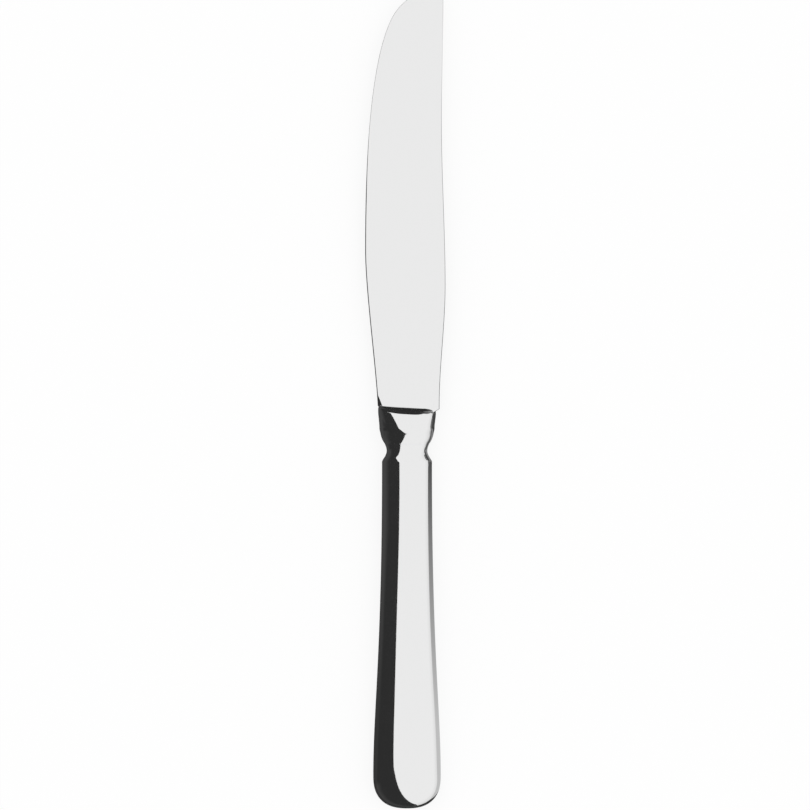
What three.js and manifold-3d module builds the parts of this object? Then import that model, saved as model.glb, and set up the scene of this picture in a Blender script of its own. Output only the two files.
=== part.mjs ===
// A hollow-handle table knife: a forged blade with its bolster and tang, two pressed handle halves
// brazed along their edges, a solder ring at the neck and cement round the tang.
// Millimetres. The knife lies on its back: +Y runs to the tip, +X to the spine, and +Z is up.
// Each piece is drawn about the handle's axis, with the handle's mouth at y = 0 and the parting plane
// at z = 0.

import * as THREE from 'three';
import { mergeVertices } from 'three/addons/utils/BufferGeometryUtils.js';
import Module from 'manifold-3d';

// Lengths along the knife
const handleLength = 104.3;
const solderThickness = 0.3;
const bolsterLength = 10.5;
const bladeLength = 120;

// The bolster's crest and the handle's flat land share this half thickness, so the knife lies on both
const restHalfThickness = 4.2;

// Blade outline, with reaches measured sideways from the handle's axis
const heelEdgeReach = 8.4;
const heelFlare = 0.5;
const heelFlareRun = 10.5;
const bellyReach = 12;
const bellyFromHeel = 45;
const bellyRearRun = 11;
const bellyFrontRun = 27;
const sweepRadius = 15.2;
const sweepStartAngle = THREE.MathUtils.degToRad(26);
const sweepLead = 13.7;
const heelSpineReach = 9.3;
const swellSpineReach = 11.02;
const swellFromHeel = 35;
const waistSpineReach = 9.95;
const waistFromHeel = 82;
const tipSpineReach = 10.45;
const tipCornerRadius = 1.25;
const tipFlat = 1;
const heelRound = 0.5;
const heelLeanRun = 12;
const rootDepth = 2.2;
const rootHalfWidth = 6.4;

// Blade thickness
const heelHalfThickness = 1.25;
const tipHalfThickness = 0.6;
const spineRound = 0.4;
const heelBevelWidth = 1.5;
const heelBevelRun = 3.5;
const bevelWidth = 0.25;
const bevelHalfThickness = 0.3;
const edgeHalfThickness = 0.1;

// Bolster, whose slopes, lean and inset are per unit of length
const noseHalfWidth = 8.15;
const noseHalfThickness = 0.9;
const noseLength = 2.1;
const noseRake = 0.35;
const noseRise = 1.3;
const noseLead = 0.35;
const faceHalfWidth = 8.3;
const faceHalfThickness = 3.53;
const faceSlope = 0.35;
const faceLead = 1.28;
const faceFlatShare = 0.2;
const heelLean = 0.057;
const faceBow = 0.9;
const crestHalfWidth = 7.92;
const crestFromMouth = 4.85;
const ridgeHalfWidth = 7.62;
const ridgeHalfThickness = 3.93;
const ridgeFromMouth = 3.27;
const ridgeLead = 0.53;
const ridgeSlope = 0.34;
const ridgeInset = 0.17;
const grooveLead = 1.8;

// Neck, at the handle's mouth, where the bolster still narrows towards the handle
const neckHalfWidth = 6.24;
const neckHalfThickness = 3.25;
const neckNarrowing = 0.46;
const neckRise = 0.37;
const neckFlatShare = 0.05;

// Handle
const wall = 0.8;
const seamThickness = 0.2;
const shoulderHalfWidth = 7.17;
const shoulderHalfThickness = 4.05;
const shoulderLength = 5;
const shoulderHollow = 2.8;
const shoulderRound = 1.2;
const thickeningRun = 20;
const slimRun = 55;
const swellHalfWidth = 9.69;
const swellRun = 19.5;
const swellFlatShare = 0.22;
const flatRun = 62;
const buttLength = 9.5;
const buttPlanPower = 2.5;
const buttCrownLength = 20;
const buttCrownPower = 3.4;
const buttFlatEnd = 2.5;
const buttFlatRun = 9;

// Tang and cement
const tangDepthInBolster = 3;
const tangClearance = 0.5;
const tangHalfThickness = 1.4;
const tangEndHalfWidth = 2.2;
const tangEndHalfThickness = 0.8;
const tangFlatShare = 0.6;
const cementClearance = 0.3;
const cementFromMouth = 5;
const cementFromButt = 19.6;
const cementPastTang = 16;

// Smoothness of the curved forms
const quarterSteps = 6;
const railSteps = 7;
const bodySteps = 18;
const buttSteps = 8;
const bladeSteps = 12;
const sweepSteps = 9;
const cornerSteps = 2;

const heelY = solderThickness + bolsterLength;
const tipY = heelY + bladeLength;
const faceY = heelY - noseLength;
const neckFaceHalfWidth = neckHalfWidth + neckNarrowing * solderThickness;
const swellY = buttLength - handleLength;
const cementEndY = cementFromButt - handleLength;
const tangEndY = cementEndY + cementPastTang;

const wasm = await Module();
wasm.setup();

// Skins: a patch is a list of rows of points, and its front faces out when its rows run towards the butt
// and each row runs from the spine side over the top to the edge side

function patchTriangles(rows) {
  const corners = [];
  const push = (a, b, c) => {
    if (a.distanceTo(b) > 0 && b.distanceTo(c) > 0 && c.distanceTo(a) > 0) {
      corners.push(a, b, c);
    }
  };
  for (let i = 0; i + 1 < rows.length; i += 1) {
    for (let j = 0; j + 1 < rows[i].length; j += 1) {
      push(rows[i][j], rows[i][j + 1], rows[i + 1][j]);
      push(rows[i + 1][j], rows[i][j + 1], rows[i + 1][j + 1]);
    }
  }
  return corners;
}

function skin(patches) {
  const corners = patches.flatMap(patchTriangles);
  const geometry = new THREE.BufferGeometry().setFromPoints(corners);
  return mergeVertices(geometry);
}

function turnedOver(rows) {
  return rows.map((row) => [...row].reverse());
}

function mirrored(rows) {
  const flipped = rows.map((row) => row.map((p) => new THREE.Vector3(p.x, p.y, -p.z)));
  return turnedOver(flipped);
}

// A row shrunk to the middle of another, which closes the end of a patch
function shrunk(row) {
  const middle = new THREE.Box3().setFromPoints(row).getCenter(new THREE.Vector3());
  return row.map(() => middle);
}

function closedEnds(rows) {
  return [shrunk(rows[0]), ...rows, shrunk(rows[rows.length - 1])];
}

// Sections: elliptical sides that run tangent into a flat crown. A station holds a section's half width,
// place along the knife, half thickness and the share of its half width that is flat.

function crownArc(station, base) {
  const { halfWidth, y, halfThickness, flatShare } = station;
  const flat = flatShare * halfWidth;
  const right = [];
  for (let i = 0; i <= quarterSteps; i += 1) {
    const turn = (i / quarterSteps) * (Math.PI / 2);
    const x = flat + (halfWidth - flat) * Math.cos(turn);
    const z = base + (halfThickness - base) * Math.sin(turn);
    right.push(new THREE.Vector3(x, y, z));
  }
  const left = right.map((p) => new THREE.Vector3(-p.x, p.y, p.z)).reverse();
  return [...right, ...left];
}

function fullRing(station) {
  const top = crownArc(station, 0);
  const bottom = top.slice(1, -1).map((p) => new THREE.Vector3(p.x, p.y, -p.z)).reverse();
  return [...top, ...bottom, top[0]];
}

function inward(station, inset) {
  const halfWidth = station.halfWidth - inset;
  const halfThickness = station.halfThickness - inset;
  return { ...station, halfWidth, halfThickness };
}

function stationAt(stations, y) {
  const next = stations.findIndex((station) => station.y <= y);
  const before = stations[Math.max(next - 1, 0)];
  const after = stations[next];
  const span = before.y - after.y;
  const share = span > 0 ? (before.y - y) / span : 0;
  const halfWidth = THREE.MathUtils.lerp(before.halfWidth, after.halfWidth, share);
  const halfThickness = THREE.MathUtils.lerp(before.halfThickness, after.halfThickness, share);
  const flatShare = THREE.MathUtils.lerp(before.flatShare, after.flatShare, share);
  return { halfWidth, y, halfThickness, flatShare };
}

// Rails: curves whose points hold half width, place along the knife and half thickness

function rail(from, leadOut, leadIn, to, steps) {
  const curve = new THREE.CubicBezierCurve3(
    new THREE.Vector3(...from),
    new THREE.Vector3(...leadOut),
    new THREE.Vector3(...leadIn),
    new THREE.Vector3(...to),
  );
  return curve.getPoints(steps).map((p) => ({ halfWidth: p.x, y: p.y, halfThickness: p.z }));
}

function joined(...runs) {
  return runs.flatMap((run, index) => (index === 0 ? run : run.slice(1)));
}

function shareBetween(y, fromY, toY) {
  return THREE.MathUtils.clamp((y - fromY) / (toY - fromY), 0, 1);
}

// Bolster: a steep nose at the heel line, a face that flares up to the crest, and a groove from the ridge
// down to the neck

function bolsterStations() {
  const nose = rail(
    [noseHalfWidth, heelY, noseHalfThickness],
    [noseHalfWidth, heelY - noseRake, noseHalfThickness + noseRise],
    [faceHalfWidth, faceY + noseLead, faceHalfThickness - faceSlope * noseLead],
    [faceHalfWidth, faceY, faceHalfThickness],
    railSteps,
  );
  const face = rail(
    [faceHalfWidth, faceY, faceHalfThickness],
    [faceHalfWidth, faceY - faceLead, faceHalfThickness + faceSlope * faceLead],
    [crestHalfWidth, crestFromMouth + faceLead, restHalfThickness],
    [crestHalfWidth, crestFromMouth, restHalfThickness],
    railSteps,
  );
  const ridge = rail(
    [crestHalfWidth, crestFromMouth, restHalfThickness],
    [crestHalfWidth, crestFromMouth - ridgeLead, restHalfThickness],
    [
      ridgeHalfWidth + ridgeInset * ridgeLead,
      ridgeFromMouth + ridgeLead,
      ridgeHalfThickness + ridgeSlope * ridgeLead,
    ],
    [ridgeHalfWidth, ridgeFromMouth, ridgeHalfThickness],
    railSteps,
  );
  const groove = rail(
    [ridgeHalfWidth, ridgeFromMouth, ridgeHalfThickness],
    [
      ridgeHalfWidth - ridgeInset * grooveLead,
      ridgeFromMouth - grooveLead,
      ridgeHalfThickness - ridgeSlope * grooveLead,
    ],
    [neckFaceHalfWidth + neckNarrowing * neckRise, solderThickness + neckRise, neckHalfThickness],
    [neckFaceHalfWidth, solderThickness, neckHalfThickness],
    railSteps,
  );
  return joined(nose, face, ridge, groove).map((station) => {
    const share = shareBetween(station.y, ridgeFromMouth, faceY);
    return { ...station, flatShare: THREE.MathUtils.lerp(neckFlatShare, faceFlatShare, share) };
  });
}

// The front line leans, and the face behind it bows towards the handle in the middle of the knife
function bolsterRing(station) {
  const aheadOfCrest = shareBetween(station.y, crestFromMouth, faceY);
  const lean = heelLean * aheadOfCrest;
  const bow = faceBow * aheadOfCrest * shareBetween(station.y, heelY, faceY);
  return fullRing(station).map((p) => {
    const y = p.y + bow * (p.x / station.halfWidth) ** 2 - lean * p.x;
    return new THREE.Vector3(p.x, y, p.z);
  });
}

// Blade: ribs from spine to edge, which lean as the heel line does, turn square across the blade and fan
// round the sweep to the tip

function spineReachAt(y) {
  const stops = [
    { y: heelY + heelRound, reach: heelSpineReach },
    { y: heelY + swellFromHeel, reach: swellSpineReach },
    { y: heelY + waistFromHeel, reach: waistSpineReach },
    { y: tipY - tipCornerRadius, reach: tipSpineReach },
  ];
  const next = Math.max(stops.findIndex((stop) => stop.y >= y), 1);
  const share = THREE.MathUtils.smoothstep(y, stops[next - 1].y, stops[next].y);
  return THREE.MathUtils.lerp(stops[next - 1].reach, stops[next].reach, share);
}

function edgeOutline() {
  const sweepCentre = new THREE.Vector2(tipSpineReach - tipCornerRadius, tipY - sweepRadius);
  const along = new THREE.Vector2(Math.sin(sweepStartAngle), Math.cos(sweepStartAngle));
  const heel = new THREE.Vector2(-heelEdgeReach, heelY + heelRound);
  const heelLead = new THREE.Vector2(-heelEdgeReach - heelFlare, heel.y + heelFlareRun);
  const belly = new THREE.Vector2(-bellyReach, heelY + bellyFromHeel);
  const bellyIn = new THREE.Vector2(-bellyReach, belly.y - bellyRearRun);
  const bellyOut = new THREE.Vector2(-bellyReach, belly.y + bellyFrontRun);
  const sweepStart = new THREE.Vector2(-along.y, along.x).multiplyScalar(sweepRadius).add(sweepCentre);
  const sweepIn = sweepStart.clone().addScaledVector(along, -sweepLead);
  const rear = new THREE.CubicBezierCurve(heel, heelLead, bellyIn, belly);
  const front = new THREE.CubicBezierCurve(belly, bellyOut, sweepIn, sweepStart);
  const sweep = arc(sweepCentre, sweepRadius, Math.PI - sweepStartAngle, Math.PI / 2);
  return { rear, front, sweep };
}

function arc(centre, radius, fromAngle, toAngle) {
  return new THREE.EllipseCurve(centre.x, centre.y, radius, radius, fromAngle, toAngle, fromAngle > toAngle);
}

// The tip's corner is rounded from both sides, up to the small flat at its middle
function cornerRibs() {
  const centre = new THREE.Vector2(tipSpineReach - tipCornerRadius, tipY - tipCornerRadius);
  const turn = Math.PI / 4 - Math.asin(tipFlat / (2 * tipCornerRadius));
  const edges = arc(centre, tipCornerRadius, Math.PI / 2, Math.PI / 2 - turn).getPoints(cornerSteps);
  const spines = arc(centre, tipCornerRadius, 0, turn).getPoints(cornerSteps);
  return edges.map((edge, i) => ({ edge, spine: spines[i] }));
}

function bladeRibs() {
  const { rear, front, sweep } = edgeOutline();
  const square = joined(rear.getPoints(bladeSteps), front.getPoints(bladeSteps));
  const ribs = square.map((edge) => {
    const squared = shareBetween(edge.y, heelY + heelRound, heelY + heelRound + heelLeanRun);
    const y = edge.y - heelLean * (heelEdgeReach + heelSpineReach) * (1 - squared);
    return { edge, spine: new THREE.Vector2(spineReachAt(y), y) };
  });
  const fanStart = square[square.length - 1].y;
  const fanEnd = tipY - tipCornerRadius;
  for (let i = 1; i < sweepSteps; i += 1) {
    const share = i / sweepSteps;
    const y = THREE.MathUtils.lerp(fanStart, fanEnd, share);
    ribs.push({ edge: sweep.getPoint(share), spine: new THREE.Vector2(spineReachAt(y), y) });
  }
  const rootY = heelY - rootDepth;
  const root = {
    edge: new THREE.Vector2(-rootHalfWidth, rootY),
    spine: new THREE.Vector2(rootHalfWidth, rootY),
  };
  return [root, ...ribs, ...cornerRibs()].reverse();
}

function ribRing({ edge, spine }) {
  const across = edge.clone().sub(spine);
  const width = across.length();
  across.normalize();
  const taper = THREE.MathUtils.clamp((spine.y - heelY) / bladeLength, 0, 1);
  const thick = THREE.MathUtils.lerp(heelHalfThickness, tipHalfThickness, taper);
  const softened = spineRound * (1 - Math.SQRT1_2);
  const pastHeel = shareBetween(edge.y, heelY, heelY + heelBevelRun);
  const bevel = THREE.MathUtils.lerp(heelBevelWidth, bevelWidth, pastHeel);
  const bevelTop = THREE.MathUtils.lerp(bevelHalfThickness, thick, bevel / width);
  const profile = [
    [0, thick - spineRound],
    [softened, thick - softened],
    [spineRound, thick],
    [width - bevel, bevelTop],
    [width, edgeHalfThickness],
  ];
  const place = ([reach, z]) => {
    const spot = spine.clone().addScaledVector(across, reach);
    return new THREE.Vector3(spot.x, spot.y, z);
  };
  const top = profile.map(place);
  const bottom = profile.map(([reach, z]) => place([reach, -z])).reverse();
  return [...top, ...bottom, top[0]];
}

// Tang: a flat bar that passes the neck's waist and tapers to its end inside the handle

const waistHalfWidth = Math.min(...shoulderStations().map((station) => station.halfWidth));
const tangMouth = {
  halfWidth: waistHalfWidth - wall - tangClearance,
  y: 0,
  halfThickness: tangHalfThickness,
  flatShare: tangFlatShare,
};
const tangRoot = { ...tangMouth, y: solderThickness + tangDepthInBolster };
const tangEnd = {
  halfWidth: tangEndHalfWidth,
  y: tangEndY,
  halfThickness: tangEndHalfThickness,
  flatShare: tangFlatShare,
};

function solidOf(geometry) {
  const vertProperties = geometry.getAttribute('position').array;
  const triVerts = new Uint32Array(geometry.getIndex().array);
  return new wasm.Manifold(new wasm.Mesh({ numProp: 3, vertProperties, triVerts }));
}

function geometryOf(solid) {
  const { vertProperties, triVerts } = solid.getMesh();
  const geometry = new THREE.BufferGeometry();
  geometry.setAttribute('position', new THREE.BufferAttribute(vertProperties, 3));
  geometry.setIndex(new THREE.BufferAttribute(triVerts, 1));
  return geometry;
}

function bladeForging() {
  const blade = skin([closedEnds(bladeRibs().map(ribRing))]);
  const bolster = skin([closedEnds(bolsterStations().map(bolsterRing))]);
  const tang = skin([closedEnds([tangRoot, tangMouth, tangEnd].map(fullRing))]);
  return geometryOf(solidOf(blade).add(solidOf(bolster)).add(solidOf(tang)));
}

// Handle: a narrow waist and a shoulder behind the mouth, and a slim body that swells to the rounded butt

function shoulderStations() {
  return rail(
    [neckHalfWidth, 0, neckHalfThickness],
    [neckHalfWidth - neckNarrowing * shoulderHollow, -shoulderHollow, neckHalfThickness],
    [shoulderHalfWidth, shoulderRound - shoulderLength, shoulderHalfThickness],
    [shoulderHalfWidth, -shoulderLength, shoulderHalfThickness],
    railSteps,
  );
}

function bodyStations() {
  const body = rail(
    [shoulderHalfWidth, -shoulderLength, shoulderHalfThickness],
    [shoulderHalfWidth, -shoulderLength - slimRun, restHalfThickness],
    [swellHalfWidth, swellY + swellRun, restHalfThickness],
    [swellHalfWidth, swellY, restHalfThickness],
    bodySteps,
  );
  return body.map((station) => {
    const thin = 1 - shareBetween(station.y, -shoulderLength, -shoulderLength - thickeningRun);
    const halfThickness = THREE.MathUtils.lerp(restHalfThickness, shoulderHalfThickness, thin ** 2);
    return { ...station, halfThickness };
  });
}

function handleStations(inset) {
  const stations = joined(shoulderStations(), bodyStations()).map((station) => inward(station, inset));
  const endY = inset - handleLength;
  const flatEndY = buttFlatEnd - handleLength;
  for (let i = 1; i <= buttSteps; i += 1) {
    const turn = (i / buttSteps) * (Math.PI / 2);
    const run = Math.sin(turn) ** (2 / buttPlanPower);
    const narrowing = i < buttSteps ? Math.cos(turn) ** (2 / buttPlanPower) : 0;
    stations.push({
      halfWidth: (swellHalfWidth - inset) * narrowing,
      y: THREE.MathUtils.lerp(swellY, endY, run),
      halfThickness: restHalfThickness - inset,
    });
  }
  return stations.map((station) => {
    const past = shareBetween(station.y, buttCrownLength - handleLength, endY);
    const falling = (1 - past ** buttCrownPower) ** (1 / buttCrownPower);
    const widening = THREE.MathUtils.smoothstep(-station.y, 0, flatRun);
    const ending = shareBetween(station.y, flatEndY, flatEndY + buttFlatRun);
    const flatShare = THREE.MathUtils.lerp(neckFlatShare, swellFlatShare, widening) * ending;
    return { ...station, halfThickness: station.halfThickness * falling, flatShare };
  });
}

function handleArc(station) {
  const base = seamThickness / 2;
  const halfThickness = Math.max(station.halfThickness, base);
  return crownArc({ ...station, halfThickness }, base);
}

function shellPatches() {
  const outer = handleStations(0).map(handleArc);
  const inner = handleStations(wall).map(handleArc);
  const last = outer[0].length - 1;
  const mouth = [inner[0], outer[0]];
  const spineEdge = outer.map((row, i) => [inner[i][0], row[0]]);
  const cuttingEdge = outer.map((row, i) => [row[last], inner[i][last]]);
  return [outer, turnedOver(inner), mouth, spineEdge, cuttingEdge];
}

function handleSeam() {
  const outlineOf = (stations) => [
    ...stations.map((s) => new THREE.Vector2(s.halfWidth, s.y)),
    ...stations.slice(0, -1).map((s) => new THREE.Vector2(-s.halfWidth, s.y)).reverse(),
  ];
  const outer = outlineOf(handleStations(0));
  const inner = outlineOf(handleStations(wall)).reverse();
  const ribbon = new THREE.Shape([...outer, ...inner]);
  const geometry = new THREE.ExtrudeGeometry(ribbon, { depth: seamThickness, bevelEnabled: false });
  geometry.translate(0, 0, -seamThickness / 2);
  return geometry;
}

function neckSolder() {
  const neck = { halfThickness: neckHalfThickness, flatShare: neckFlatShare };
  const front = { ...neck, halfWidth: neckFaceHalfWidth, y: solderThickness };
  const back = { ...neck, halfWidth: neckHalfWidth, y: 0 };
  const outer = [front, back].map(fullRing);
  const inner = [front, back].map((station) => fullRing(inward(station, wall)));
  return skin([outer, turnedOver(inner), [inner[0], outer[0]], [outer[1], inner[1]]]);
}

// Cement: fills the handle up to its walls, with the tang's socket down its middle

function tangCement() {
  const walls = handleStations(wall + cementClearance);
  const startY = -cementFromMouth;
  const inside = walls.filter((station) => station.y < startY && station.y > cementEndY);
  const outerRows = [stationAt(walls, startY), ...inside, stationAt(walls, cementEndY)].map(fullRing);
  const socketOf = (station) => fullRing(inward(station, -cementClearance));
  const socketStart = stationAt([tangMouth, tangEnd], startY);
  const socketEnd = { ...tangEnd, y: tangEnd.y - cementClearance };
  const socketRows = [socketStart, socketEnd].map(socketOf);
  const mouth = [socketRows[0], outerRows[0]];
  const outerSkin = [...outerRows, shrunk(outerRows[outerRows.length - 1])];
  const socketSkin = [...socketRows, shrunk(socketRows[1])];
  return skin([outerSkin, turnedOver(socketSkin), mouth]);
}

// Finishes
const polishedSteel = new THREE.MeshStandardMaterial({ color: 0xe9e9e9, roughness: 0.08, metalness: 1 });
const braze = new THREE.MeshStandardMaterial({ color: 0xd8d2c4, roughness: 0.15, metalness: 1 });
const solder = new THREE.MeshStandardMaterial({ color: 0xc9c9cb, roughness: 0.25, metalness: 1 });
const cement = new THREE.MeshStandardMaterial({ color: 0x8d8377, roughness: 0.95, metalness: 0 });

const knife = new THREE.Group();

function add(name, geometry, material) {
  const mesh = new THREE.Mesh(geometry, material);
  mesh.name = name;
  knife.add(mesh);
}

const halfShell = shellPatches();
add('blade', bladeForging(), polishedSteel);
add('handle_front_shell', skin(halfShell), polishedSteel);
add('handle_back_shell', skin(halfShell.map(mirrored)), polishedSteel);
add('handle_seam', handleSeam(), braze);
add('neck_solder', neckSolder(), solder);
add('tang_cement', tangCement(), cement);

// The origin is under the middle of the whole knife, on the plane that it lies on
const extent = new THREE.Box3().setFromObject(knife);
const middle = extent.getCenter(new THREE.Vector3());
knife.position.set(-middle.x, -middle.y, -extent.min.z);

export default knife;
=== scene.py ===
"""A hollow-handle table knife in mirror-polished steel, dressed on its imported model.

Lengths are in metres. The knife lies on its back: +Y runs to the tip, +X to the spine and +Z is up.
Each piece is drawn about the handle's axis, with the handle's mouth at y = 0 and its parting plane
at z = 0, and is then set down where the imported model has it.
"""

import logging
import math
from dataclasses import dataclass
from enum import Enum
from typing import Any, Callable, Sequence

import bmesh
import bpy
import numpy as np
from mathutils import Matrix, Vector


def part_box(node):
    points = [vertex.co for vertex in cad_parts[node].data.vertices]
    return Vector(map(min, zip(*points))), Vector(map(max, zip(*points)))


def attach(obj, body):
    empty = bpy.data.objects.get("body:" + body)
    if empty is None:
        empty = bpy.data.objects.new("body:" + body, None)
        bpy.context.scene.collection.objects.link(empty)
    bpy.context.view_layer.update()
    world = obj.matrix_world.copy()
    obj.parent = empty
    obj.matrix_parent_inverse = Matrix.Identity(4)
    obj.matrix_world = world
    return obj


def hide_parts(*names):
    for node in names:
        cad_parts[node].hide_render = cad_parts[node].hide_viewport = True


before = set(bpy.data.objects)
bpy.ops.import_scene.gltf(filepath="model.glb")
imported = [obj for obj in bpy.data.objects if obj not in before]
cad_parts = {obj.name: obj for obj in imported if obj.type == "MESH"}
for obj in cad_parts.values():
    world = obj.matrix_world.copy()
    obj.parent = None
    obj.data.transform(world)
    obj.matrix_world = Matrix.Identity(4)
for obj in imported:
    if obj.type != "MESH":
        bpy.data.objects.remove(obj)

log = logging.getLogger("table_knife")

MM = 0.001
WELD_DISTANCE = 0.001 * MM
NOISE_SPAN = (0.3, 0.7)
WHITE = (1.0, 1.0, 1.0, 1.0)
Object = bpy.types.Object
Material = bpy.types.Material
Socket = bpy.types.NodeSocket
Plug = Socket | float | int | bool | tuple
Plugs = dict[str | int, Plug]
Field = Callable[..., Plug]
Points = np.ndarray
Point = Sequence[float] | Points


class Side(Enum):
    """The two faces of the knife, by the sign of their height over the parting plane."""

    FRONT = 1
    BACK = -1


class Record(Enum):
    """The record's material slots."""

    STEEL = "polished_steel"
    BRAZE = "braze"
    SOLDER = "solder"
    CEMENT = "cement"


# Node trees


class Wiring:
    """Adds nodes to a tree and wires their sockets."""

    def __init__(self, tree: bpy.types.NodeTree) -> None:
        """Keeps the tree that nodes are added to."""
        self.tree = tree

    def add(self, kind: str, plugs: Plugs | None = None, **settings: Any) -> bpy.types.Node:
        """Adds a node.

        Args:
            kind: the node's type name.
            plugs: what goes into each input, as a socket to wire or a value to set.
            settings: the node's own properties.

        Returns:
            The new node.
        """
        node = self.tree.nodes.new(kind)
        for name, value in settings.items():
            setattr(node, name, value)
        for name, value in (plugs or {}).items():
            self.plug(node.inputs[name], value)
        return node

    def plug(self, socket: Socket, value: Plug) -> None:
        """Wires an input, or sets its own value.

        Args:
            socket: the input.
            value: the socket to wire to it, or the value to set.
        """
        if isinstance(value, Socket):
            self.tree.links.new(value, socket)
        else:
            socket.default_value = value

    def number(self, operation: str, *values: Plug) -> Socket:
        """Adds a Math node with its inputs in order and gives its result."""
        return self.add("ShaderNodeMath", dict(enumerate(values)), operation=operation).outputs[0]

    def spread(
        self, value: Plug, low: Plug, high: Plug, to_low: Plug, to_high: Plug, **settings: Any
    ) -> Socket:
        """Maps a number from the range low to high to the range to_low to to_high."""
        plugs = {0: value, 1: low, 2: high, 3: to_low, 4: to_high}
        return self.add("ShaderNodeMapRange", plugs, **settings).outputs[0]

    def place(self) -> Socket:
        """Gives the place on an object in its own coordinates."""
        return self.add("ShaderNodeTexCoord").outputs["Object"]

    def noise(self, place: Socket, size: float, detail: float, roughness: float = 0.5) -> Socket:
        """Adds noise with features of about a size, and its share of finer detail."""
        plugs = {"Vector": place, "Scale": 1 / size, "Detail": detail, "Roughness": roughness}
        return self.add("ShaderNodeTexNoise", plugs).outputs[0]

    def tint(self, share: Socket, dark: tuple, light: tuple) -> Socket:
        """Blends two colours."""
        plugs = {"Factor": share, 6: dark, 7: light}
        return self.add("ShaderNodeMix", plugs, data_type="RGBA").outputs[2]

    def relief(self, height: Socket, depth: float, strength: float) -> Socket:
        """Gives the normals of a surface with raised and sunken places."""
        plugs = {"Strength": strength, "Distance": depth, "Height": height}
        return self.add("ShaderNodeBump", plugs).outputs[0]

    def surface(self, plugs: Plugs) -> None:
        """Ends a material's tree with its surface shader and what goes into it."""
        shader = self.add("ShaderNodeBsdfPrincipled", plugs)
        self.add("ShaderNodeOutputMaterial", {"Surface": shader.outputs[0]})


class ShapeTree:
    """A Geometry Nodes tree whose named inputs are a shape's sizes."""

    def __init__(self, name: str, counts: Sequence[str], sizes: Sequence[str]) -> None:
        """Starts the tree, with inputs for its guide and its finish too.

        Args:
            name: the tree's name.
            counts: the named inputs that are whole numbers.
            sizes: the named inputs that can be any number.
        """
        self.tree = bpy.data.node_groups.new(name, "GeometryNodeTree")
        kinds = dict.fromkeys(counts, "Int") | dict.fromkeys(sizes, "Float")
        for label, kind in {"Guide": "Geometry", **kinds, "Finish": "Material"}.items():
            self.tree.interface.new_socket(label, in_out="INPUT", socket_type=f"NodeSocket{kind}")
        self.tree.interface.new_socket("Shape", in_out="OUTPUT", socket_type="NodeSocketGeometry")
        self.wiring = Wiring(self.tree)
        self.inputs = self.wiring.add("NodeGroupInput").outputs

    def grid(self, rows: Plug, columns: Plug) -> tuple[Socket, Socket, Socket]:
        """Adds a grid of points.

        Args:
            rows: how many rows it has.
            columns: how many points a row has.

        Returns:
            The grid, and the row and column that each point is in.
        """
        wiring = self.wiring
        grid = wiring.add("GeometryNodeMeshGrid", {"Vertices X": rows, "Vertices Y": columns})
        index = wiring.add("GeometryNodeInputIndex").outputs[0]
        row = wiring.number("FLOOR", wiring.number("DIVIDE", index, columns))
        column = wiring.number("SUBTRACT", index, wiring.number("MULTIPLY", row, columns))
        return grid.outputs[0], row, column

    def guide_point(self, index: Plug) -> Socket:
        """Reads a point of the guide.

        Args:
            index: the point's number.

        Returns:
            The point.
        """
        position = self.wiring.add("GeometryNodeInputPosition").outputs[0]
        plugs = {"Geometry": self.inputs["Guide"], "Value": position, "Index": index}
        sample = self.wiring.add("GeometryNodeSampleIndex", plugs, data_type="FLOAT_VECTOR")
        return sample.outputs[0]

    def finish(self, sheets: Sequence[tuple[Socket, Socket]], turned: Plug) -> None:
        """Welds sheets into one skin, gives it its finish and ends the tree.

        Args:
            sheets: the grid of each sheet, and where its points go.
            turned: whether the skin's faces are turned round.
        """
        wiring = self.wiring
        join = wiring.add("GeometryNodeJoinGeometry")
        for grid, spot in sheets:
            sheet = wiring.add("GeometryNodeSetPosition", {"Geometry": grid, "Position": spot})
            wiring.plug(join.inputs[0], sheet.outputs[0])
        plugs = {"Geometry": join.outputs[0], "Distance": WELD_DISTANCE}
        weld = wiring.add("GeometryNodeMergeByDistance", plugs)
        turn = wiring.add("GeometryNodeFlipFaces", {"Mesh": weld.outputs[0], "Selection": turned})
        real = wiring.add("GeometryNodeRealizeInstances", {"Geometry": turn.outputs[0]})
        plugs = {"Geometry": real.outputs[0], "Material": self.inputs["Finish"]}
        dressed = wiring.add("GeometryNodeSetMaterial", plugs)
        wiring.add("NodeGroupOutput", {"Shape": dressed.outputs[0]})

    def grow(self, name: str, guide: Points, values: dict[str, Any]) -> Object:
        """Grows a piece on a guide's points.

        Args:
            name: the piece's name.
            guide: the guide's points.
            values: the value of each named input.

        Returns:
            The piece, as a plain mesh.
        """
        start = bpy.data.meshes.new(name + "_guide")
        start.from_pydata(guide.tolist(), [], [])
        piece = linked(bpy.data.objects.new(name, start))
        modifier = piece.modifiers.new("shape", "NODES")
        modifier.node_group = self.tree
        for item in self.tree.interface.items_tree:
            if item.name in values:
                modifier[item.identifier] = values[item.name]
        settle(piece)
        return piece


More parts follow.
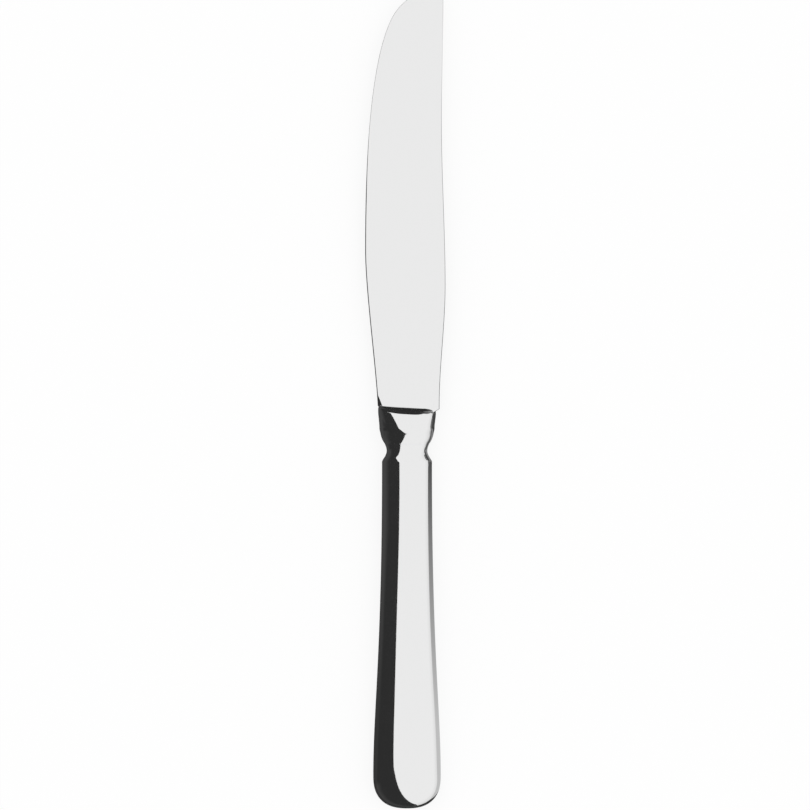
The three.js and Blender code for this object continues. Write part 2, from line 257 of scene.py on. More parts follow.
def half_shell_tree() -> ShapeTree:
    """Makes the tree that sweeps a crowned section along a handle's stations into a walled half shell.

    Returns:
        The tree. Its guide holds the outer stations and then the inner ones, each as a point of half
        width, place along the handle and half thickness.
    """
    flats = ("Mouth Flat Share", "Swell Flat Share", "Flat Run", "Flat End", "Flat End Run")
    shape = ShapeTree("half_shell", ("Stations", "Turn Steps"), (*flats, "Parting Height", "Side"))
    wiring = shape.wiring
    number = wiring.number
    stations = shape.inputs["Stations"]
    steps = shape.inputs["Turn Steps"]
    base = shape.inputs["Parting Height"]
    columns = number("ADD", steps, 1)

    def sheet(rows: Plug, across: Plug, place: Field, turn_share: Field) -> tuple[Socket, Socket]:
        """Sweeps one sheet of the shell.

        Args:
            rows: how many rows the sheet has.
            across: how many points a row has.
            place: gives a point's station from its row and column.
            turn_share: gives how far round the section a point is, from 0 at the spine side to 1.

        Returns:
            Its grid, and where the grid's points go.
        """
        grid, row, column = shape.grid(rows, across)
        station = wiring.add("ShaderNodeSeparateXYZ", {0: shape.guide_point(place(row, column))}).outputs
        turn = number("MULTIPLY", turn_share(column), math.pi)
        cosine = number("COSINE", turn)
        from_mouth = number("MULTIPLY", station[1], -1.0)
        shares = (shape.inputs["Mouth Flat Share"], shape.inputs["Swell Flat Share"])
        run = shape.inputs["Flat Run"]
        share = wiring.spread(from_mouth, 0.0, run, *shares, interpolation_type="SMOOTHSTEP")
        before_end = number("SUBTRACT", station[1], shape.inputs["Flat End"])
        fading = wiring.spread(before_end, 0.0, shape.inputs["Flat End Run"], 0.0, share)
        flat = number("MULTIPLY", station[0], fading)
        rounding = number("SUBTRACT", station[0], flat)
        crown = number("MULTIPLY", flat, number("SIGN", cosine))
        x = number("MULTIPLY_ADD", rounding, cosine, crown)
        rise = number("SUBTRACT", number("MAXIMUM", station[2], base), base)
        height = number("MULTIPLY_ADD", rise, number("SINE", turn), base)
        z = number("MULTIPLY", height, shape.inputs["Side"])
        return grid, wiring.add("ShaderNodeCombineXYZ", {0: x, 1: station[1], 2: z}).outputs[0]

    def forth(column: Socket) -> Socket:
        """Runs from the spine side to the edge side."""
        return number("DIVIDE", column, steps)

    def after(row: Socket, sheets: Plug) -> Socket:
        """Steps on in the guide by whole runs of stations."""
        return number("MULTIPLY_ADD", sheets, stations, row)

    def other(value: Socket) -> Socket:
        """Turns 0 into 1 and 1 into 0."""
        return number("SUBTRACT", 1.0, value)

    sheets = [
        sheet(stations, columns, lambda row, column: row, forth),
        sheet(stations, columns, lambda row, column: after(row, 1.0), lambda column: other(forth(column))),
        sheet(2, columns, lambda row, column: number("MULTIPLY", other(row), stations), forth),
        sheet(stations, 2, lambda row, column: after(row, other(column)), lambda column: 0.0),
        sheet(stations, 2, lambda row, column: after(row, column), lambda column: 1.0),
    ]
    shape.finish(sheets, number("GREATER_THAN", shape.inputs["Side"], 0.0))
    return shape


def bead_tree() -> ShapeTree:
    """Makes the tree that runs a flat bead with softened corners along a path.

    Returns:
        The tree. Its guide holds the inner and the outer line of the bead's one face, and then those of the
        other, point by point.
    """
    shape = ShapeTree("bead", ("Path Points", "Profile Steps"), ("Corner Softness", "Capped"))
    wiring = shape.wiring
    number = wiring.number
    points = shape.inputs["Path Points"]
    steps = shape.inputs["Profile Steps"]
    capped = shape.inputs["Capped"]
    grid, row, column = shape.grid(number("ADD", points, 2), number("ADD", steps, 1))
    last = number("SUBTRACT", points, 1)
    along = number("MAXIMUM", number("MINIMUM", number("SUBTRACT", row, 1), last), 0.0)
    before = number("LESS_THAN", row, 0.5)
    beyond = number("GREATER_THAN", row, number("ADD", points, 0.5))
    closing = number("MULTIPLY", number("ADD", before, beyond), capped)
    opened = number("SUBTRACT", 1.0, closing)
    step = number("ADD", number("MODULO", column, steps), 0.5)
    turn = number("MULTIPLY", number("DIVIDE", step, steps), math.tau)

    def squared(wave: str) -> Socket:
        """Squares off a sine or cosine of the turn, down to nothing at a closed end.

        Args:
            wave: which of the two.

        Returns:
            The squared wave.
        """
        value = number(wave, turn)
        size = number("POWER", number("ABSOLUTE", value), shape.inputs["Corner Softness"])
        return number("MULTIPLY", number("MULTIPLY", number("SIGN", value), size), opened)

    def between(share: Socket, start: Socket, end: Socket) -> Socket:
        """Finds the point at a share of the way between two points."""
        plugs = {"Factor": share, 4: start, 5: end}
        return wiring.add("ShaderNodeMix", plugs, data_type="VECTOR").outputs[1]

    lines = [shape.guide_point(number("MULTIPLY_ADD", points, i, along)) for i in range(4)]
    outward = number("MULTIPLY_ADD", squared("COSINE"), 0.5, 0.5)
    through = number("MULTIPLY_ADD", squared("SINE"), 0.5, 0.5)
    spot = between(through, between(outward, *lines[:2]), between(outward, *lines[2:]))
    shape.finish([(grid, spot)], False)
    return shape


# Meshes


def linked(thing: Object) -> Object:
    """Puts an object into the scene."""
    bpy.context.scene.collection.objects.link(thing)
    return thing


def settle(piece: Object) -> None:
    """Turns a piece and its modifiers into one plain mesh.

    Args:
        piece: the piece, which keeps its name.
    """
    bpy.context.view_layer.update()
    evaluated = piece.evaluated_get(bpy.context.evaluated_depsgraph_get())
    plain = bpy.data.meshes.new_from_object(evaluated)
    piece.modifiers.clear()
    piece.data = plain
    plain.name = piece.name


def face_out(piece: Object) -> None:
    """Points every face of a closed piece outwards.

    Args:
        piece: the piece.
    """
    shape = bmesh.new()
    shape.from_mesh(piece.data)
    bmesh.ops.recalc_face_normals(shape, faces=shape.faces)
    shape.to_mesh(piece.data)
    shape.free()


def smooth(piece: Object, crease: float) -> None:
    """Shades a piece smooth up to a crease angle in degrees."""
    piece.data.shade_smooth()
    piece.data.set_sharp_from_angle(angle=math.radians(crease))


def dress(piece: Object, finish: Material) -> None:
    """Gives a piece its one finish."""
    piece.data.materials.clear()
    piece.data.materials.append(finish)


def lofted(name: str, rings: Points) -> Object:
    """Skins a run of closed rings and closes both ends.

    Args:
        name: the object's name.
        rings: the rings' points, ring by ring.

    Returns:
        The closed object.
    """
    count, around, _ = rings.shape
    here = np.arange(count * around).reshape(count, around)
    there = np.roll(here, -1, axis=1)
    faces = np.dstack([here[:-1], there[:-1], there[1:], here[1:]]).reshape(-1, 4).tolist()
    faces += [here[0, ::-1].tolist(), here[-1].tolist()]
    mesh = bpy.data.meshes.new(name)
    mesh.from_pydata(rings.reshape(-1, 3).tolist(), [], faces)
    piece = linked(bpy.data.objects.new(name, mesh))
    face_out(piece)
    return piece


def bezier(start: Point, lead_out: Point, lead_in: Point, end: Point, steps: int) -> Points:
    """Samples a cubic curve.

    Args:
        start: the curve's first point.
        lead_out: the point that it sets off towards.
        lead_in: the point that it arrives from.
        end: the curve's last point.
        steps: how many steps it is sampled in.

    Returns:
        The points, one to a row.
    """
    t = np.linspace(0.0, 1.0, steps + 1)[:, None]
    a, b, c, d = (np.asarray(point, float) for point in (start, lead_out, lead_in, end))
    return (1 - t) ** 3 * a + 3 * (1 - t) ** 2 * t * b + 3 * (1 - t) * t**2 * c + t**3 * d


def joined(*runs: Points) -> Points:
    """Joins runs of points whose ends meet."""
    return np.vstack([runs[0], *(run[1:] for run in runs[1:])])


def crowned_rings(stations: Points, around: int, flat_share: float | Points) -> Points:
    """Draws closed sections with elliptical sides and a flat crown on both faces.

    Args:
        stations: half width, place along the knife and half thickness of each section.
        around: how many points a section has.
        flat_share: how much of the half width the flat takes, in all sections or in each.

    Returns:
        The sections' points.
    """
    turn = (np.arange(around) + 0.5) / around * math.tau
    flat = np.reshape(flat_share, (-1, 1)) * stations[:, :1]
    x = flat * np.sign(np.cos(turn)) + (stations[:, :1] - flat) * np.cos(turn)
    z = stations[:, 2:] * np.sin(turn)
    y = np.broadcast_to(stations[:, 1:2], x.shape)
    return np.stack([x, y, z], axis=2)


# Finishes


def emptied(block: Material | bpy.types.World) -> Wiring:
    """Empties the tree of a material or a sky, to be wired afresh.

    Args:
        block: the material or the sky.

    Returns:
        The wiring of its tree.
    """
    block.use_nodes = True
    block.node_tree.nodes.clear()
    return Wiring(block.node_tree)


@dataclass(frozen=True)
class PolishedSteel:
    """Mirror-polished steel with faint buffing lines along the knife and a breath of haze."""

    name: str = "polished_steel"
    colour: tuple = (0.82, 0.82, 0.82, 1.0)
    roughness: tuple = (0.035, 0.07)
    line_spacing: float = 0.12 * MM
    line_length: float = 14 * MM
    line_depth: float = 0.00002 * MM
    haze_size: float = 18 * MM
    buffing_share: float = 0.35
    mottle_span: tuple = (0.35, 0.65)

    def material(self) -> Material:
        """Makes the finish.

        Returns:
            Its material.
        """
        material = bpy.data.materials.new(self.name)
        wiring = emptied(material)
        place = wiring.place()
        stretch = (1 / self.line_spacing, 1 / self.line_length, 1 / self.line_spacing)
        lines = wiring.add("ShaderNodeMapping", {"Vector": place, "Scale": stretch}).outputs[0]
        buffing = wiring.noise(lines, size=1.0, detail=2.0)
        haze = wiring.noise(place, self.haze_size, detail=3.0, roughness=0.6)
        rest = wiring.number("MULTIPLY", haze, 1 - self.buffing_share)
        mottle = wiring.number("MULTIPLY_ADD", buffing, self.buffing_share, rest)
        wiring.surface(
            {
                "Base Color": self.colour,
                "Metallic": 1.0,
                "Roughness": wiring.spread(mottle, *self.mottle_span, *self.roughness),
                "Normal": wiring.relief(buffing, self.line_depth, strength=1.0),
            }
        )
        return material


@dataclass(frozen=True)
class FusedMetal:
    """Braze or solder: a soft metal with a fine frozen grain and small colour shifts."""

    name: str
    dark: tuple
    light: tuple
    roughness: tuple
    grain: float = 0.5 * MM
    grain_depth: float = 0.0006 * MM

    def material(self) -> Material:
        """Makes the finish.

        Returns:
            Its material.
        """
        material = bpy.data.materials.new(self.name)
        wiring = emptied(material)
        grain = wiring.noise(wiring.place(), self.grain, detail=3.0)
        shade = wiring.spread(grain, *NOISE_SPAN, 0.0, 1.0)
        wiring.surface(
            {
                "Base Color": wiring.tint(shade, self.dark, self.light),
                "Metallic": 1.0,
                "Roughness": wiring.spread(grain, *NOISE_SPAN, *self.roughness),
                "Normal": wiring.relief(grain, self.grain_depth, strength=0.6),
            }
        )
        return material


@dataclass(frozen=True)
class CutlersCement:
    """Set cement: a matt resin full of stone dust, with dark specks and small pits."""

    name: str = "cement"
    dark: tuple = (0.2, 0.16, 0.13, 1.0)
    light: tuple = (0.46, 0.41, 0.36, 1.0)
    roughness: tuple = (0.8, 0.98)
    dust: float = 1.4 * MM
    pit: float = 0.7 * MM
    pit_rim: float = 0.35
    pit_depth: float = 0.12 * MM

    def material(self) -> Material:
        """Makes the finish.

        Returns:
            Its material.
        """
        material = bpy.data.materials.new(self.name)
        wiring = emptied(material)
        place = wiring.place()
        dust = wiring.noise(place, self.dust, detail=6.0, roughness=0.65)
        plugs = {"Vector": place, "Scale": 1 / self.pit}
        pits = wiring.add("ShaderNodeTexVoronoi", plugs).outputs["Distance"]
        speck = wiring.spread(pits, 0.0, self.pit_rim, 0.0, 1.0)
        shade = wiring.number("MULTIPLY", wiring.spread(dust, *NOISE_SPAN, 0.0, 1.0), speck)
        wiring.surface(
            {
                "Base Color": wiring.tint(shade, self.dark, self.light),
                "Roughness": wiring.spread(dust, *NOISE_SPAN, *self.roughness),
                "Normal": wiring.relief(shade, self.pit_depth, strength=0.8),
            }
        )
        return material


class Workshop:
    """The finishes and the shape trees that the pieces share."""

    def __init__(self) -> None:
        """Makes each material and tree once."""
        silver_braze = FusedMetal(
            "braze", dark=(0.74, 0.7, 0.63, 1.0), light=(0.86, 0.84, 0.8, 1.0), roughness=(0.1, 0.22)
        )
        tin_solder = FusedMetal(
            "solder", dark=(0.8, 0.8, 0.81, 1.0), light=(0.83, 0.83, 0.84, 1.0), roughness=(0.05, 0.09)
        )
        finishes = (PolishedSteel(), silver_braze, tin_solder, CutlersCement())
        self.finishes = {Record(finish.name): finish.material() for finish in finishes}
        self.half_shell = half_shell_tree()
        self.bead = bead_tree()


# Pieces


@dataclass(frozen=True)
class Neck:
    """The oval where the handle meets the bolster, and the ring of solder between them."""

    half_width: float = 6.24 * MM
    half_thickness: float = 3.25 * MM
    narrowing: float = 0.46
    flat_share: float = 0.05
    solder: float = 0.3 * MM


@dataclass(frozen=True)
class HandleForm:
    """The handle's outside: a shoulder at the mouth, a slim body and a swell to the rounded butt."""

    neck: Neck = Neck()
    length: float = 104.3 * MM
    rest_half_thickness: float = 4.2 * MM
    wall: float = 0.8 * MM
    seam: float = 0.2 * MM
    shoulder_half_width: float = 7.17 * MM
    shoulder_half_thickness: float = 4.05 * MM
    shoulder_length: float = 5 * MM
    shoulder_hollow: float = 2.8 * MM
    shoulder_round: float = 1.2 * MM
    thickening_run: float = 20 * MM
    slim_run: float = 55 * MM
    swell_half_width: float = 9.69 * MM
    swell_run: float = 19.5 * MM
    butt_length: float = 9.5 * MM
    butt_plan_power: float = 2.5
    butt_crown_length: float = 20 * MM
    butt_crown_power: float = 3.4
    butt_flat_end: float = 2.5 * MM
    butt_flat_run: float = 9 * MM
    swell_flat_share: float = 0.22
    flat_run: float = 62 * MM
    shoulder_steps: int = 24
    body_steps: int = 72
    butt_steps: int = 40

    def shoulder(self) -> Points:
        """Lists the sections from the mouth, past the neck's waist, to the shoulder.

        Returns:
            Half width, place along the knife and half thickness of each section.
        """
        neck = self.neck
        hollow = neck.half_width - neck.narrowing * self.shoulder_hollow
        width, thickness = self.shoulder_half_width, self.shoulder_half_thickness
        return bezier(
            (neck.half_width, 0.0, neck.half_thickness),
            (hollow, -self.shoulder_hollow, neck.half_thickness),
            (width, self.shoulder_round - self.shoulder_length, thickness),
            (width, -self.shoulder_length, thickness),
            self.shoulder_steps,
        )

    def stations(self, inset: float) -> Points:
        """Lists the handle's sections from the mouth to the butt.

        Args:
            inset: how far inside the outer face the sections lie.

        Returns:
            Half width, place along the knife and half thickness of each section.
        """
        rest = self.rest_half_thickness
        swell_y = self.butt_length - self.length
        shoulder = self.shoulder()
        body = bezier(
            shoulder[-1],
            (self.shoulder_half_width, -self.shoulder_length - self.slim_run, rest),
            (self.swell_half_width, swell_y + self.swell_run, rest),
            (self.swell_half_width, swell_y, rest),
            self.body_steps,
        )
        thin = np.clip(1 - (-self.shoulder_length - body[:, 1]) / self.thickening_run, 0, 1)
        body[:, 2] = rest - (rest - self.shoulder_half_thickness) * thin**2
        turn = np.linspace(0.0, math.pi / 2, self.butt_steps + 1)[1:]
        run = np.sin(turn) ** (2 / self.butt_plan_power)
        narrowing = np.clip(np.cos(turn), 0, None) ** (2 / self.butt_plan_power)
        narrowing[-1] = 0.0
        butt = np.column_stack(
            [
                (self.swell_half_width - inset) * narrowing,
                swell_y - (self.butt_length - inset) * run,
                np.full_like(run, rest - inset),
            ]
        )
        stations = np.vstack([joined(shoulder, body) - (inset, 0.0, inset), butt])
        crown_length = self.butt_crown_length - inset
        past = np.clip(1 - (stations[:, 1] + self.length - inset) / crown_length, 0, 1)
        power = self.butt_crown_power
        stations[:, 2] *= (1 - past**power) ** (1 / power)
        return stations


@dataclass
class Piece:
    """A piece of the knife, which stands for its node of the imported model."""

    node: str
    record: Record
    form: HandleForm
    crease: float = 32.0

    def build(self, workshop: Workshop) -> Object:
        """Builds the piece's mesh about the handle's axis."""
        raise NotImplementedError

    def place(self, workshop: Workshop, origin: Vector) -> None:
        """Builds, dresses and sets down the piece.

        Args:
            workshop: the shared finishes and trees.
            origin: where the middle of the handle's mouth is.
        """
        piece = self.build(workshop)
        dress(piece, workshop.finishes[self.record])
        piece.data.transform(Matrix.Translation(origin))
        smooth(piece, self.crease)
        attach(piece, "root")
        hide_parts(self.node)
        log.info("%s: %d faces", piece.name, len(piece.data.polygons))


@dataclass
class HandleShell(Piece):
    """One pressed half of the hollow handle, swept along the handle's stations."""

    side: Side = Side.FRONT
    turn_steps: int = 96

    def build(self, workshop: Workshop) -> Object:
        """Builds the half's outer and inner walls and its rims.

        Args:
            workshop: the shared finishes and trees.

        Returns:
            The half.
        """
        outer = self.form.stations(0.0)
        inner = self.form.stations(self.form.wall)
        values = {
            "Stations": len(outer),
            "Turn Steps": self.turn_steps,
            "Mouth Flat Share": self.form.neck.flat_share,
            "Swell Flat Share": self.form.swell_flat_share,
            "Flat Run": self.form.flat_run,
            "Flat End": self.form.butt_flat_end - self.form.length,
            "Flat End Run": self.form.butt_flat_run,
            "Parting Height": self.form.seam / 2,
            "Side": float(self.side.value),
            "Finish": workshop.finishes[self.record],
        }
        name = f"handle_{self.side.name.lower()}"
        return workshop.half_shell.grow(name, np.vstack([outer, inner]), values)


@dataclass
class Bead(Piece):
    """A thin bead of fused metal, flush with the pieces that it joins."""

    name: str = "bead"
    corner_softness: float = 0.0
    capped: bool = False
    profile_steps: int = 32

    def lines(self) -> list[Points]:
        """Lists the inner and the outer line of the bead's one face, and then those of the other."""
        raise NotImplementedError

    def build(self, workshop: Workshop) -> Object:
        """Runs the bead along its lines.

        Args:
            workshop: the shared finishes and trees.

        Returns:
            The bead.
        """
        lines = self.lines()
        values = {
            "Path Points": len(lines[0]),
            "Profile Steps": self.profile_steps,
            "Corner Softness": self.corner_softness,
            "Capped": float(self.capped),
            "Finish": workshop.finishes[self.record],
        }
        piece = workshop.bead.grow(self.name, np.vstack(lines), values)
        face_out(piece)
        return piece


@dataclass
class HandleSeam(Bead):
    """The line of braze round the handle's edge, flush with both halves."""

    name: str = "handle_braze_line"
    corner_softness: float = 0.12
    capped: bool = True

    def outline(self, height: float, inset: float) -> Points:
        """Draws a line that runs down one side of the handle, round the butt and up the other."""
        side = self.form.stations(inset) * (1, 1, 0) + (0, 0, height)
        return np.vstack([side, (side * (-1, 1, 1))[-2::-1]])

    def lines(self) -> list[Points]:
        """Lists the braze's lines along the handle's outline."""
        half = self.form.seam / 2
        return [self.outline(height, inset) for height in (-half, half) for inset in (self.form.wall, 0.0)]


@dataclass
class NeckSolder(Bead):
    """The ring of solder between the bolster's rear face and the handle's mouth."""

    crease: float = 8.0
    name: str = "neck_solder_ring"
    corner_softness: float = 0.02
    around: int = 240

    def lines(self) -> list[Points]:
        """Lists the solder's lines as closed rings round the neck.

        Returns:
            The rings' points. The last point of a ring is its first.
        """
        neck = self.form.neck
        stations = [
            (neck.half_width + neck.narrowing * y - inset, y, neck.half_thickness - inset)
            for y in (0.0, neck.solder)
            for inset in (self.form.wall, 0.0)
        ]
        rings = crowned_rings(np.array(stations), self.around, neck.flat_share)
        return [np.vstack([ring, ring[:1]]) for ring in rings]


@dataclass
class BladeForging(Piece):
    """The blade, its heel, the flared bolster, the grooved neck and the tang, forged in one."""

    bolster_length: float = 10.5 * MM
    length: float = 120 * MM

    heel_edge_reach: float = 8.4 * MM
    heel_flare: float = 0.5 * MM
    heel_flare_run: float = 10.5 * MM
    belly_reach: float = 12 * MM
    belly_from_heel: float = 45 * MM
    belly_rear_run: float = 11 * MM
    belly_front_run: float = 27 * MM
    sweep_radius: float = 15.2 * MM
    sweep_start: float = math.radians(26)
    sweep_lead: float = 13.7 * MM
    heel_spine_reach: float = 9.3 * MM
    swell_spine_reach: float = 11.02 * MM
    swell_from_heel: float = 35 * MM
    waist_spine_reach: float = 9.95 * MM
    waist_from_heel: float = 82 * MM
    tip_spine_reach: float = 10.45 * MM
    tip_corner_radius: float = 1.25 * MM
    tip_flat: float = 1 * MM
    heel_round: float = 0.5 * MM
    heel_lean_run: float = 12 * MM
    root_depth: float = 2.2 * MM
    root_half_width: float = 6.4 * MM

    heel_half_thickness: float = 1.25 * MM
    tip_half_thickness: float = 0.6 * MM
    spine_round: float = 0.4 * MM
    heel_bevel_width: float = 1.5 * MM
    heel_bevel_run: float = 3.5 * MM
    bevel_width: float = 0.25 * MM
    tip_bevel_width: float = 0.08 * MM
    bevel_fade: tuple = (60 * MM, 80 * MM)
    bevel_half_thickness: float = 0.3 * MM
    edge_half_thickness: float = 0.1 * MM

    nose_half_width: float = 8.15 * MM
    nose_half_thickness: float = 0.9 * MM
    nose_length: float = 2.1 * MM
    nose_rake: float = 0.35 * MM
    nose_rise: float = 1.3 * MM
    nose_lead: float = 0.35 * MM
    face_half_width: float = 8.3 * MM
    face_half_thickness: float = 3.53 * MM
    face_slope: float = 0.35
    face_lead: float = 1.28 * MM
    face_flat_share: float = 0.2
    heel_lean: float = 0.057
    face_bow: float = 0.9 * MM
    crest_half_width: float = 7.92 * MM
    crest_from_mouth: float = 4.85 * MM
    ridge_half_width: float = 7.62 * MM
    ridge_half_thickness: float = 3.93 * MM
    ridge_from_mouth: float = 3.27 * MM
    ridge_lead: float = 0.53 * MM
    ridge_slope: float = 0.34
    ridge_inset: float = 0.17
    groove_lead: float = 1.8 * MM
    neck_rise: float = 0.37 * MM

    tang_depth: float = 3 * MM
    tang_clearance: float = 0.5 * MM
    tang_half_thickness: float = 1.4 * MM
    tang_from_butt: float = 35.6 * MM
    tang_end_half_width: float = 2.2 * MM
    tang_end_half_thickness: float = 0.8 * MM
    tang_flat_share: float = 0.6

    rail_steps: int = 20
    around: int = 128
    blade_steps: int = 70
    sweep_steps: int = 60
    corner_steps: int = 10
    spine_steps: int = 8
    face_steps: int = 36

    @property
    def heel_y(self) -> float:
        """Where the heel line is."""
        return self.form.neck.solder + self.bolster_length

    @property
    def tip_y(self) -> float:
        """Where the tip is."""
        return self.heel_y + self.length

    def bolster(self) -> Points:
        """Lists the bolster's sections from its nose at the heel line to the neck.

        Returns:
            Half width, place along the knife and half thickness of each section.
        """
        neck, rest = self.form.neck, self.form.rest_half_thickness
        face_y = self.heel_y - self.nose_length
        nose = np.array([self.nose_half_width, self.heel_y, self.nose_half_thickness])
        face = np.array([self.face_half_width, face_y, self.face_half_thickness])
        crest = np.array([self.crest_half_width, self.crest_from_mouth, rest])
        ridge = np.array([self.ridge_half_width, self.ridge_from_mouth, self.ridge_half_thickness])
        waist = np.array([neck.half_width + neck.narrowing * neck.solder, neck.solder, neck.half_thickness])
        uphill = np.array([0.0, -1.0, self.face_slope])
        downhill = np.array([-self.ridge_inset, -1.0, -self.ridge_slope])
        level = np.array([0.0, -1.0, 0.0])
        inward = np.array([-neck.narrowing, -1.0, 0.0])
        raked = np.array([0.0, -self.nose_rake, self.nose_rise])
        runs = [
            (nose, nose + raked, face - uphill * self.nose_lead, face),
            (face, face + uphill * self.face_lead, crest - level * self.face_lead, crest),
            (crest, crest + level * self.ridge_lead, ridge - downhill * self.ridge_lead, ridge),
            (ridge, ridge + downhill * self.groove_lead, waist - inward * self.neck_rise, waist),
        ]
        return joined(*(bezier(*run, self.rail_steps) for run in runs))

    def bolster_rings(self) -> Points:
        """Draws the bolster, with a heel line that leans and a face that bows back in the middle.

        Returns:
            The sections' points.
        """
        stations = self.bolster()
        y = stations[:, 1]
        crest, face = self.crest_from_mouth, self.heel_y - self.nose_length
        flat_shares = [self.form.neck.flat_share, self.face_flat_share]
        flat_share = np.interp(y, [self.ridge_from_mouth, face], flat_shares)
        rings = crowned_rings(stations, self.around, flat_share)
        lean = np.interp(y, [crest, face], [0.0, self.heel_lean])
        bow = np.interp(y, [crest, face, self.heel_y], [0.0, self.face_bow, 0.0])
        x = rings[:, :, 0]
        rings[:, :, 1] += bow[:, None] * (x / stations[:, :1]) ** 2 - lean[:, None] * x
        return rings

    def spine_reach(self, y: Points) -> Points:
        """Works out how far the spine is from the handle's axis, by smooth steps between its stops.

        Args:
            y: places along the knife.

        Returns:
            How far it is at each of the places.
        """
        stops = [
            (self.heel_y + self.heel_round, self.heel_spine_reach),
            (self.heel_y + self.swell_from_heel, self.swell_spine_reach),
            (self.heel_y + self.waist_from_heel, self.waist_spine_reach),
            (self.tip_y - self.tip_corner_radius, self.tip_spine_reach),
        ]
        reach = np.full_like(y, self.heel_spine_reach)
        for (low_y, low), (high_y, high) in zip(stops, stops[1:]):
            share = np.clip((y - low_y) / (high_y - low_y), 0, 1)
            reach += (high - low) * share * share * (3 - 2 * share)
        return reach

    def ribs(self) -> tuple[Points, Points]:
        """Lists the ribs' ends from the root to the tip.

        Returns:
            The points on the cutting edge, and those on the spine that face them.
        """
        centre_x = self.tip_spine_reach - self.tip_corner_radius
        sweep_centre = np.array([centre_x, self.tip_y - self.sweep_radius])
        along = np.array([math.sin(self.sweep_start), math.cos(self.sweep_start)])
        sweep_from = sweep_centre + self.sweep_radius * np.array([-along[1], along[0]])
        heel = (-self.heel_edge_reach, self.heel_y + self.heel_round)
        belly = (-self.belly_reach, self.heel_y + self.belly_from_heel)
        rear = bezier(
            heel,
            (heel[0] - self.heel_flare, heel[1] + self.heel_flare_run),
            (belly[0], belly[1] - self.belly_rear_run),
            belly,
            self.blade_steps,
        )
        front = bezier(
            belly,
            (belly[0], belly[1] + self.belly_front_run),
            sweep_from - self.sweep_lead * along,
            sweep_from,
            self.blade_steps,
        )
        square = joined(rear, front)
        squared = np.clip((square[:, 1] - heel[1]) / self.heel_lean_run, 0, 1)
        lean = self.heel_lean * (self.heel_edge_reach + self.heel_spine_reach)
        square_y = square[:, 1] - lean * (1 - squared)
        square_spine = np.column_stack([self.spine_reach(square_y), square_y])
        share = np.linspace(0, 1, self.sweep_steps + 1)[1:-1]
        angle = math.pi - self.sweep_start + share * (self.sweep_start - math.pi / 2)
        fan = sweep_centre + self.sweep_radius * np.column_stack([np.cos(angle), np.sin(angle)])
        fan_y = square[-1, 1] + share * (self.tip_y - self.tip_corner_radius - square[-1, 1])
        fan_spine = np.column_stack([self.spine_reach(fan_y), fan_y])
        corner_centre = np.array([centre_x, self.tip_y - self.tip_corner_radius])
        most = math.pi / 4 - math.asin(self.tip_flat / (2 * self.tip_corner_radius))
        turn = np.linspace(0, most, self.corner_steps + 1)
        rounding = self.tip_corner_radius * np.column_stack([np.sin(turn), np.cos(turn)])
        root = np.array([[-self.root_half_width, self.heel_y - self.root_depth]])
        edge = np.vstack([root, square, fan, corner_centre + rounding])
        spine = np.vstack([root * (-1, 1), square_spine, fan_spine, corner_centre + rounding[:, ::-1]])
        return edge, spine

    def rib_rings(self) -> Points:
        """Draws the blade's sections: a rounded spine, a flat ground face and a fine edge bevel.

        Returns:
            The sections' points.
        """
        edge, spine = self.ribs()
        width = np.linalg.norm(edge - spine, axis=1)[:, None]
        across = (edge - spine) / width
        taper = np.clip((spine[:, 1:] - self.heel_y) / self.length, 0, 1)
        thick = self.heel_half_thickness + (self.tip_half_thickness - self.heel_half_thickness) * taper
        from_heel = edge[:, 1:] - self.heel_y
        bevel = np.interp(
            from_heel,
            [0, self.heel_bevel_run, *self.bevel_fade],
            [self.heel_bevel_width, self.bevel_width, self.bevel_width, self.tip_bevel_width],
        )
        bevel_z = self.bevel_half_thickness + (thick - self.bevel_half_thickness) * bevel / width
        turn = np.linspace(0, math.pi / 2, self.spine_steps + 1)
        ones = np.ones_like(width)
        spine_reach = ones * self.spine_round * (1 - np.cos(turn))
        spine_z = thick - self.spine_round * (1 - np.sin(turn))
        share = (1 - np.cos(np.linspace(0, math.pi, self.face_steps + 1)[1:])) / 2
        face_reach = self.spine_round + (width - bevel - self.spine_round) * share
        face_z = thick + (bevel_z - thick) * share
        reach = np.hstack([spine_reach, face_reach, width])
        z = np.hstack([spine_z, face_z, ones * self.edge_half_thickness])
        reach = np.hstack([reach, reach[:, ::-1]])
        z = np.hstack([z, -z[:, ::-1]])
        xy = spine[:, None, :] + across[:, None, :] * reach[:, :, None]
        return np.dstack([xy, z])

    def tang(self) -> Points:
        """Lists the tang's sections from inside the bolster to its end in the handle.

        Returns:
            Half width, place along the knife and half thickness of each section.
        """
        waist = self.form.shoulder()[:, 0].min()
        half_width = waist - self.form.wall - self.tang_clearance
        end_y = self.tang_from_butt - self.form.length
        return np.array(
            [
                [half_width, self.form.neck.solder + self.tang_depth, self.tang_half_thickness],
                [half_width, 0.0, self.tang_half_thickness],
                [self.tang_end_half_width, end_y, self.tang_end_half_thickness],
            ]
        )

    def build(self, workshop: Workshop) -> Object:
        """Forges the blade, the bolster and the tang into one solid.

        Args:
            workshop: the shared finishes and trees; not used here.

        Returns:
            The forging.
        """
        blade = lofted("blade_forging", self.rib_rings())
        tang = crowned_rings(self.tang(), self.around // 2, self.tang_flat_share)
        others = [lofted("bolster", self.bolster_rings()), lofted("tang", tang)]
        for other in others:
            weld = blade.modifiers.new(other.name, "BOOLEAN")
            weld.operation = "UNION"
            weld.solver = "MANIFOLD"
            weld.object = other
        settle(blade)
        for other in others:
            bpy.data.meshes.remove(other.data)
        return blade


# Studio


